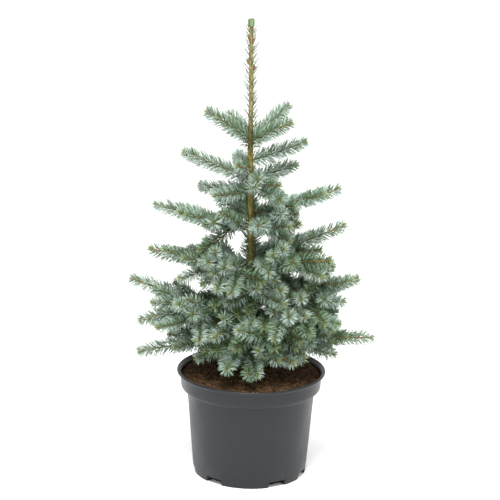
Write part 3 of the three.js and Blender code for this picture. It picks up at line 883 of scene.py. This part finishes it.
def leader_tuft(solids, settings, rng, count=90):
    """The dense green brush over the leader's end bud."""
    share = np.sqrt((np.arange(count) + 0.5) / count)
    out = outward(np.arange(count) * GOLDEN_ANGLE)
    foot = stem_point(STEM_TOP - 8) + out * (2.3 + 1.7 * share)[:, None] + UP * (4 * (1 - share))[:, None]
    direction = swung(UP, out, np.radians(2 + 7 * share))
    length = np.full(count, 12.4) + rng.normal(0, 0.5, count) - 2.2 * (1 - share)
    width = np.full(count, settings.width / MM * 1.1)
    finish = np.where(rng.random(count) < 0.6, TONES.index("green"), TONES.index("fresh"))
    needle_solids(solids, foot, direction, length, -out, width, finish, rng)


# ------------ pot

POT_SIDES = 192
RECESS_HEADINGS = (51, 119, 188, 232, 299, 338)
RECESS_HALF_WIDTH = 9       # degrees
RECESS_HEIGHT = 9
RECESS_REACH = (76, 104)    # radii between which a cutting block stands
POT_FLOOR = 12.0
SOIL_LEVEL = 158.4
SOIL_RADIUS = 106.7
SOIL_FOOT = ((106.0, 140), (97.0, 133), (86.5, 15.5), (84.5, 12.4))     # radius, height: the side of the compost

POT_PROFILE = (
    (0, 0), (60, 0), (86.4, 0), (87.5, 0.4), (88.05, 1.4), (88.6, 8), (90.7, 33), (92.8, 58), (94.8, 83),
    (96.9, 108), (98.4, 126), (98.8, 130.6), (99.3, 132.6), (100.6, 133.6), (103.0, 134.2), (105.6, 135.2),
    (107.4, 136.8), (108.3, 139.0), (108.6, 142), (108.8, 149), (108.95, 156.5), (109.3, 158.6), (110.4, 159.7),
    (112.6, 160.1), (114.2, 160.5), (114.9, 161.4), (115.0, 162.3), (114.6, 163.3), (113.6, 163.9),
    (112.4, 164.0), (111.2, 163.5), (109.4, 161.6), (107.9, 159.2), (107.2, 156), (106.9, 150), (106.6, 140),
    (104, 136.6), (97.6, 134.5), (96.7, 130), (87.0, 15), (85.2, 12.6), (60, POT_FLOOR), (0, POT_FLOOR),
)


def turned(profile, sides):
    """A closed profile turned about the upright axis. It starts and ends on the axis."""
    radii, levels = np.array(profile[1:-1], float).T[..., None]
    angle = np.arange(sides) * 2 * math.pi / sides
    rings = np.stack(np.broadcast_arrays(radii * np.cos(angle), radii * np.sin(angle), levels), axis=-1)
    points = np.concatenate([rings.reshape(-1, 3), [[0, 0, profile[0][1]], [0, 0, profile[-1][1]]]])
    return points, *skin(len(radii), sides, 0, len(points) - 2, len(points) - 1)


def recess_cutter():
    """The six blocks that bite the drain recesses out of the pot's foot, as one mesh."""
    shape = bmesh.new()
    for middle in RECESS_HEADINGS:
        rims = []
        for level in (-2.0, RECESS_HEIGHT):
            splay = 0.5 if level < 0 else 0.0
            turns = np.linspace(-RECESS_HALF_WIDTH - splay, RECESS_HALF_WIDTH + splay, 9)
            inner, outer = RECESS_REACH
            rim = [heading(middle + turn) * inner + UP * level for turn in turns]
            rim += [heading(middle + turn) * outer + UP * level for turn in turns[::-1]]
            rims.append([shape.verts.new(Vector(corner * MM)) for corner in rim])
        low, high = rims
        shape.faces.new(low[::-1])
        shape.faces.new(high)
        for index, corner in enumerate(low):
            following = (index + 1) % len(low)
            shape.faces.new((corner, low[following], high[following], high[index]))
    bmesh.ops.recalc_face_normals(shape, faces=shape.faces)
    mesh = bpy.data.meshes.new("recess_cutter")
    shape.to_mesh(mesh)
    shape.free()
    return mesh


def cut_away(piece, cutter_mesh):
    """Cuts a mesh out of a piece and keeps the result as the piece's own mesh."""
    cutter = bpy.data.objects.new("cutter", cutter_mesh)
    bpy.context.scene.collection.objects.link(cutter)
    cut = piece.modifiers.new("cut", "BOOLEAN")
    cut.operation, cut.solver, cut.object = "DIFFERENCE", "EXACT", cutter
    bevel = piece.modifiers.new("soft edges", "BEVEL")
    bevel.width, bevel.segments, bevel.limit_method = 0.7 * MM, 2, "ANGLE"
    bevel.angle_limit = math.radians(50)
    bpy.context.view_layer.update()
    graph = bpy.context.evaluated_depsgraph_get()
    mesh = bpy.data.meshes.new_from_object(piece.evaluated_get(graph))
    piece.modifiers.clear()
    piece.data = mesh
    bpy.data.objects.remove(cutter)


# ------------ compost


def soil_height(x, y):
    """Level of the compost: uneven lumps, a little heap round the stem, and a sunk edge."""
    spot = Vector((x, y, 0))
    lumps = 2.3 * noise.noise(spot / 27) + 1.4 * noise.noise(spot / 9.5) + 0.9 * noise.noise(spot / 3.7)
    radius = math.hypot(x, y)
    heap = 2.5 * math.exp(-((radius / 28) ** 2))
    edge = 1.6 * max(0.0, (radius - 98) / 8.2) ** 2
    return SOIL_LEVEL - 0.6 + lumps + heap - edge


def soil_mesh(solids):
    """The compost: its lumpy top, its side down the pot's wall and its floor."""
    sides, rows = 150, 68
    radii = SOIL_RADIUS * (1 - (1 - np.linspace(0, 1, rows + 1)[1:]) ** 1.05)
    ways = [(math.cos(turn), math.sin(turn)) for turn in np.arange(sides) * 2 * math.pi / sides]
    points = [[0, 0, soil_height(0, 0)]]
    points += [[radius * x, radius * y, soil_height(radius * x, radius * y)] for radius in radii for x, y in ways]
    points += [[radius * x, radius * y, level] for radius, level in SOIL_FOOT for x, y in ways]
    points.append([0, 0, SOIL_FOOT[-1][1]])
    quads, ends = skin(rows + len(SOIL_FOOT), sides, 1, 0, len(points) - 1)
    solids.add(np.array(points), quads[:, [0, 3, 2, 1]], ends[:, [0, 2, 1]])


def soil_spot(rng, reach=101):
    """A spot on the compost, anywhere as likely."""
    radius, turn = reach * math.sqrt(rng.random()), rng.uniform(0, 2 * math.pi)
    x, y = radius * math.cos(turn), radius * math.sin(turn)
    return np.array([x, y, soil_height(x, y)])


def loose_fibres(solids, count, rng):
    """Peat fibres and thin roots that lie on the compost."""
    for _ in range(count):
        middle = soil_spot(rng)
        along = heading(rng.uniform(0, 360), rng.uniform(-14, 14))
        aside = np.cross(along, UP)
        half = rng.uniform(2, 7.5)
        steps = np.linspace(-1, 1, 5)[:, None]
        path = middle + along * half * steps + aside * half * rng.uniform(-0.5, 0.5) * steps**2
        path = path + UP * (0.5 + rng.uniform(0, 0.9) * (1 - steps**2))
        thick = rng.uniform(0.28, 0.72)
        points, quads, ends = tube(path, thick * np.array([0.4, 1, 1.1, 0.9, 0.3]), 4)
        finish = int(rng.random() < 0.6)
        solids.add(points, quads, ends, finish, finish)


def loose_crumbs(solids, count, rng):
    """Angular crumbs of peat and bark, half sunk in the compost."""
    for _ in range(count):
        middle = soil_spot(rng)
        size = rng.uniform(0.9, 2.6)
        axis = heading(rng.uniform(0, 360), rng.uniform(-30, 30))
        path = middle + axis * size * np.array([-1, -0.45, 0.4, 1])[:, None]
        radii = size * np.array([0.35, 0.8, 0.7, 0.3]) * rng.uniform(0.8, 1.15, 4)
        squash = rng.uniform(0.5, 0.9)
        points, quads, ends = tube(path, radii, 6, lambda s, angle, r: 0.22 * r * np.sin(5 * angle + s * 3))
        points[:, 2] = middle[2] + (points[:, 2] - middle[2]) * squash + 0.25 * size
        finish = int(rng.random() < 0.22)
        solids.add(points, quads, ends, finish, finish)


# ------------ finishes


def feed(tree, node, inputs):
    """Gives each of a node's inputs a value, or a link from another node's output."""
    for name, value in inputs.items():
        if isinstance(value, bpy.types.NodeSocket):
            tree.links.new(value, node.inputs[name])
        else:
            node.inputs[name].default_value = value


def add_node(tree, kind, inputs, **facts):
    """Adds a shader node with these facts and inputs, and gives its outputs."""
    node = tree.nodes.new(f"ShaderNode{kind}")
    for fact, value in facts.items():
        setattr(node, fact, value)
    feed(tree, node, inputs)
    return node.outputs


def mottle_group():
    """Uneven patches and their relief, from the piece's own coordinates."""
    group = bpy.data.node_groups.get("mottle")
    if group:
        return group
    group = bpy.data.node_groups.new("mottle", "ShaderNodeTree")
    face = group.interface
    for name, value in (("Scale", 60.0), ("Stretch", 1.0), ("Fineness", 6.0)):
        face.new_socket(name=name, in_out="INPUT", socket_type="NodeSocketFloat").default_value = value
    for name in ("Patches", "Relief"):
        face.new_socket(name=name, in_out="OUTPUT", socket_type="NodeSocketFloat")
    entry = group.nodes.new("NodeGroupInput").outputs
    where = add_node(group, "TexCoord", {})
    squeeze = add_node(group, "CombineXYZ", {"X": 1, "Y": 1, "Z": entry["Stretch"]})
    scaled = add_node(group, "VectorMath", {0: where["Object"], 1: squeeze["Vector"]}, operation="MULTIPLY")["Vector"]
    finer = add_node(group, "Math", {0: entry["Scale"], 1: entry["Fineness"]}, operation="MULTIPLY")
    coarse = add_node(group, "TexNoise", {"Vector": scaled, "Scale": entry["Scale"], "Detail": 4})["Fac"]
    fine = add_node(group, "TexNoise", {"Vector": scaled, "Scale": finer["Value"], "Detail": 3})["Fac"]
    spread = add_node(group, "MapRange", {"Value": coarse, "From Min": 0.36, "From Max": 0.64})
    both = add_node(group, "Math", {0: coarse, 1: 0.5, 2: fine}, operation="MULTIPLY_ADD")
    leave = group.nodes.new("NodeGroupOutput")
    feed(group, leave, {"Patches": spread["Result"], "Relief": both["Value"]})
    return group


def plain_finish(name, base, roughness, specular):
    """A finish of one plain colour."""
    material = bpy.data.materials.new(name)
    material.use_nodes = True
    tree = material.node_tree
    uniform = {"Base Color": base, "Roughness": roughness, "Specular IOR Level": specular}
    feed(tree, tree.nodes["Principled BSDF"], uniform)
    return material


def mottle(material, dark, light, scale, stretch=1.0, fineness=6.0, bump=0.4, deep=0.0004):
    """Makes a finish wander between two colours, with fine relief, and gives the outputs of its patches."""
    tree = material.node_tree
    sizes = {"Scale": scale, "Stretch": stretch, "Fineness": fineness}
    patches = add_node(tree, "Group", sizes, node_tree=mottle_group())
    mix = add_node(tree, "Mix", {"A": dark, "B": light, "Factor": patches["Patches"]}, data_type="RGBA")
    raised = add_node(tree, "Bump", {"Strength": bump, "Distance": deep, "Height": patches["Relief"]})
    feed(tree, tree.nodes["Principled BSDF"], {"Base Color": mix["Result"], "Normal": raised["Normal"]})
    return patches


def mottled_finish(name, dark, light, scale, roughness=0.8, specular=0.3, **relief):
    """A finish that wanders between two colours, with fine relief."""
    material = plain_finish(name, light, roughness, specular)
    mottle(material, dark, light, scale, **relief)
    return material


def shaded(value, share):
    """The same colour, lighter or darker."""
    return (*(min(1.0, part * share) for part in value[:3]), 1.0)


def stem_finish(settings):
    """Bark of the stem: old and dark at the foot, golden higher up, darkened as painted shade at the top whorl, pale
    in the leader, golden at its end.
    """
    old, gold, pale = settings.old_bark, settings.gold_bark, settings.pale_bark
    material = plain_finish("stem bark", gold, 0.75, 0.3)
    tree = material.node_tree
    parts = add_node(tree, "SeparateXYZ", {"Vector": add_node(tree, "TexCoord", {})["Object"]})
    level = add_node(tree, "MapRange", {"Value": parts["Z"], "From Min": STEM_FOOT * MM, "From Max": STEM_TOP * MM})
    ramp = tree.nodes.new("ShaderNodeValToRGB")
    feed(tree, ramp, {"Fac": level["Result"]})
    # The dark band from 0.66 to 0.70, at the top whorl, is painted shade.
    stops = (
        (0.0, old, 0.9), (0.28, old, 1.4), (0.35, gold, 0.72), (0.50, gold, 1), (0.635, gold, 1), (0.66, gold, 0.4),
        (0.70, gold, 0.4), (0.73, pale, 0.85), (0.78, pale, 1), (0.94, pale, 1), (0.985, settings.tip_bark, 0.75),
    )
    band = ramp.color_ramp.elements
    while len(band) < len(stops):
        band.new(0.5)
    for element, (spot, tint, share) in zip(band, stops):
        element.position, element.color = spot, shaded(tint, share)
    light = ramp.outputs["Color"]
    # The mottle's darker colour is partly the bark's own flecks and partly painted shade in the hollows of its
    # relief.
    shade_in_hollows = {"Factor": 1, "A": light, "B": (0.30, 0.31, 0.24, 1)}
    dark = add_node(tree, "Mix", shade_in_hollows, data_type="RGBA", blend_type="MULTIPLY")["Result"]
    mottle(material, dark, light, 300, stretch=0.55, bump=0.6, deep=0.0006)
    return material


def plastic_finish(settings):
    """Moulded black-grey plastic: a fine grain, and dull patches where it has been handled."""
    dark, light = shaded(settings.plastic, 0.93), shaded(settings.plastic, 1.07)
    rough = settings.roughness
    material = plain_finish("pot plastic", light, rough, 0.32)
    patches = mottle(material, dark, light, 26, stretch=0.5, fineness=60, bump=0.12, deep=0.0002)
    tree = material.node_tree
    dull = add_node(tree, "MapRange", {"Value": patches["Patches"], "To Min": rough - 0.05, "To Max": rough + 0.07})
    feed(tree, tree.nodes["Principled BSDF"], {"Roughness": dull["Result"]})
    return material


# ------------ operators

GROWN = {}
SOFT_BOXES = (("key", (-0.2, -1.3, 3.0), 1.5, 1.0),)     # name, place, width, share of the key power
SOFT_BOX_AIM = Vector((0, 0, 0.4))
FLOOR_REACH, FLOOR_SIDES, FLOOR_GAP = 9000, 36, 0.2      # radius, corners, distance under the pot
NEEDLE_LIMIT = 150_000      # triangles in a piece before the next mass is given a piece of its own


def grown(context):
    """The plant's shoots, grown once for each seed."""
    seed = context.scene.spruce_needles.seed
    if seed not in GROWN:
        GROWN[seed] = grow_plant(context.scene.spruce_needles)
    return GROWN[seed]


class SPRUCE_OT_wood(bpy.types.Operator):
    """Makes the stem and the main boughs with the relief of their bark"""

    bl_idname = "spruce.wood"
    bl_label = "Stem and boughs"

    def execute(self, context):
        settings = context.scene.spruce_wood
        solids = Solids()
        solids.add(*stem_tube(settings))
        for shoot in grown(context):
            if shoot.main:
                add_wood(solids, shoot, 12, 5, 1)
        finishes = [
            stem_finish(settings),
            mottled_finish("bough bark", shaded(settings.old_bark, 0.7), shaded(settings.old_bark, 1.6), 180),
            mottled_finish("young bark", shaded(settings.twig_bark, 0.45), shaded(settings.twig_bark, 1.2), 260),
            mottled_finish("twig end", shaded(settings.tip_bark, 0.7), settings.tip_bark, 300),
        ]
        boughs = [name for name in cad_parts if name.startswith("bough_")]
        solids.make("stem_and_boughs", finishes, ["trunk", *boughs], "bark", smooth=True)
        return {"FINISHED"}


class SPRUCE_OT_twigs(bpy.types.Operator):
    """Makes the side shoots' twigs"""

    bl_idname = "spruce.twigs"
    bl_label = "Twigs"

    def execute(self, context):
        solids = Solids()
        for shoot in grown(context):
            if not shoot.main:
                add_wood(solids, shoot, 6, 3, 0)
        finishes = [bpy.data.materials[name] for name in ("bough bark", "young bark", "twig end")]
        solids.make("twigs", finishes, [], "bark", smooth=True)
        return {"FINISHED"}


class SPRUCE_OT_buds(bpy.types.Operator):
    """Makes the end buds, the buds beside them and the leader's buds"""

    bl_idname = "spruce.buds"
    bl_label = "Buds"

    def execute(self, context):
        settings = context.scene.spruce_wood
        solids = Solids()
        add_buds(solids, grown(context), np.random.default_rng(11))
        finish = mottled_finish("bud scales", shaded(settings.bud, 0.6), settings.bud, 500, roughness=0.6)
        solids.make("buds", [finish], [], "bark", smooth=True)
        return {"FINISHED"}


class SPRUCE_OT_needles(bpy.types.Operator):
    """Makes the needles: each spray on its twig, joined into a few pieces"""

    bl_idname = "spruce.needles"
    bl_label = "Needles"

    def execute(self, context):
        settings = context.scene.spruce_needles
        finishes = [plain_finish(f"needles {tone}", getattr(settings, tone), 0.55, 0.35) for tone in TONES]
        rng = np.random.default_rng(settings.seed + 1)
        by_mass = {}
        for shoot in grown(context):
            by_mass.setdefault(shoot.mass, []).append(shoot)
        solids, nodes, number = Solids(), ["needles_leader"], 1
        stem_needles(solids, settings, rng)
        for mass, shoots in by_mass.items():
            if solids.size > NEEDLE_LIMIT:
                solids.make(f"needle_sprays_{number}", finishes, nodes, "needles")
                solids, nodes, number = Solids(), [], number + 1
            for shoot in shoots:
                clad(solids, shoot, settings, rng)
            nodes.append(mass)
        solids.make(f"needle_sprays_{number}", finishes, nodes, "needles")
        return {"FINISHED"}


class SPRUCE_OT_pot(bpy.types.Operator):
    """Makes the pot with its rolled lip, its collar and the recesses round its foot"""

    bl_idname = "spruce.pot"
    bl_label = "Pot"

    def execute(self, context):
        solids = Solids()
        solids.add(*turned(POT_PROFILE, POT_SIDES))
        finish = plastic_finish(context.scene.spruce_pot)
        pot = solids.make("nursery_pot", [finish], ["pot"], "pot", smooth=True)
        cut_away(pot, recess_cutter())
        pot.data.set_sharp_from_angle(angle=math.radians(38))
        return {"FINISHED"}


class SPRUCE_OT_compost(bpy.types.Operator):
    """Makes the compost with its crumbs and loose fibres"""

    bl_idname = "spruce.compost"
    bl_label = "Compost"

    def execute(self, context):
        settings = context.scene.spruce_pot
        rng = np.random.default_rng(23)
        peat = mottled_finish(
            "peat", shaded(settings.peat, 0.6), shaded(settings.peat, 2.0), 330, roughness=0.95, bump=0.9,
            deep=0.0012, specular=0.1,
        )
        light = mottled_finish("peat fibre", shaded(settings.fibre, 0.35), settings.fibre, 90, roughness=0.9)
        solids = Solids()
        soil_mesh(solids)
        solids.make("compost", [peat], ["soil"], "soil", smooth=True)
        for name, grow, count in (
            ("compost_fibres", loose_fibres, settings.fibres), ("compost_crumbs", loose_crumbs, settings.crumbs),
        ):
            solids = Solids()
            grow(solids, count, rng)
            solids.make(name, [peat, light], [], "soil")
        return {"FINISHED"}


class SPRUCE_OT_stage(bpy.types.Operator):
    """Makes the pale floor, the soft light and the camera"""

    bl_idname = "spruce.stage"
    bl_label = "Floor, light and camera"

    def execute(self, context):
        settings = context.scene.spruce_stage
        rim = [heading(turn) * FLOOR_REACH for turn in range(0, 360, 360 // FLOOR_SIDES)]
        points = np.array([[0, 0, 0], *rim]) - UP * FLOOR_GAP
        near = 1 + np.arange(FLOOR_SIDES)
        triangles = np.stack([np.zeros_like(near), near, np.roll(near, -1)], axis=1)
        mesh = bpy.data.meshes.new("floor")
        mesh.from_pydata((points * MM).tolist(), [], triangles.tolist())
        mesh.materials.append(plain_finish("pale floor", settings.floor, 0.9, 0.0))
        floor = bpy.data.objects.new("floor", mesh)
        context.scene.collection.objects.link(floor)
        world = context.scene.world or bpy.data.worlds.new("soft light")
        context.scene.world = world
        world.use_nodes = True
        sky = world.node_tree
        feed(sky, sky.nodes["Background"], {"Color": (1, 1, 1, 1), "Strength": settings.sky})
        for name, spot, size, share in SOFT_BOXES:
            lamp = bpy.data.lights.new(name, "AREA")
            lamp.shape, lamp.size, lamp.energy = "DISK", size, settings.key * share
            box = bpy.data.objects.new(name, lamp)
            box.location = spot
            box.rotation_mode = "QUATERNION"
            box.rotation_quaternion = (SOFT_BOX_AIM - Vector(spot)).to_track_quat("-Z", "Y")
            context.scene.collection.objects.link(box)
        make_camera(context, settings)
        return {"FINISHED"}


def make_camera(context, settings):
    camera = bpy.data.cameras.new("camera")
    camera.lens, camera.sensor_width = settings.lens, 36
    camera.clip_end = 60
    forward = Vector((0, math.cos(CAMERA_PITCH), -math.sin(CAMERA_PITCH)))
    above = Vector((0, math.sin(CAMERA_PITCH), math.cos(CAMERA_PITCH)))
    right = Vector((1, 0, 0))
    across = right * math.cos(CAMERA_ROLL) + above * math.sin(CAMERA_ROLL)
    upward = above * math.cos(CAMERA_ROLL) - right * math.sin(CAMERA_ROLL)
    turned_camera = Matrix((across, upward, -forward)).transposed().to_4x4()
    eye = bpy.data.objects.new("camera", camera)
    eye.matrix_world = Matrix.Translation(CAMERA_PLACE) @ turned_camera
    context.scene.collection.objects.link(eye)
    context.scene.camera = eye
    context.scene.view_settings.view_transform = "Standard"


class SPRUCE_PT_panel(bpy.types.Panel):
    """Lists the pieces of the spruce"""

    bl_idname = "SPRUCE_PT_panel"
    bl_label = "Potted blue spruce"
    bl_space_type = "VIEW_3D"
    bl_region_type = "UI"
    bl_category = "Spruce"

    def draw(self, context):
        column = self.layout.column()
        for operator in OPERATORS:
            column.operator(operator.bl_idname)
        for group in SETTINGS:
            settings = getattr(context.scene, group)
            for name in settings.bl_rna.properties.keys():
                if name not in ("name", "rna_type"):
                    column.prop(settings, name)


OPERATORS = (
    SPRUCE_OT_stage, SPRUCE_OT_pot, SPRUCE_OT_compost, SPRUCE_OT_wood, SPRUCE_OT_twigs, SPRUCE_OT_buds,
    SPRUCE_OT_needles,
)
SETTINGS = {
    "spruce_needles": SpruceNeedleSettings, "spruce_wood": SpruceWoodSettings,
    "spruce_pot": SprucePotSettings, "spruce_stage": SpruceStageSettings,
}


def register():
    for group, kind in SETTINGS.items():
        bpy.utils.register_class(kind)
        setattr(bpy.types.Scene, group, PointerProperty(type=kind))
    for kind in (*OPERATORS, SPRUCE_PT_panel):
        bpy.utils.register_class(kind)


def unregister():
    for kind in reversed((*OPERATORS, SPRUCE_PT_panel)):
        bpy.utils.unregister_class(kind)
    for group, kind in reversed(SETTINGS.items()):
        delattr(bpy.types.Scene, group)
        bpy.utils.unregister_class(kind)


def main():
    register()
    for operator in OPERATORS:
        family, name = operator.bl_idname.split(".")
        getattr(getattr(bpy.ops, family), name)()
    bpy.context.view_layer.update()


if __name__ == "__main__":
    main()
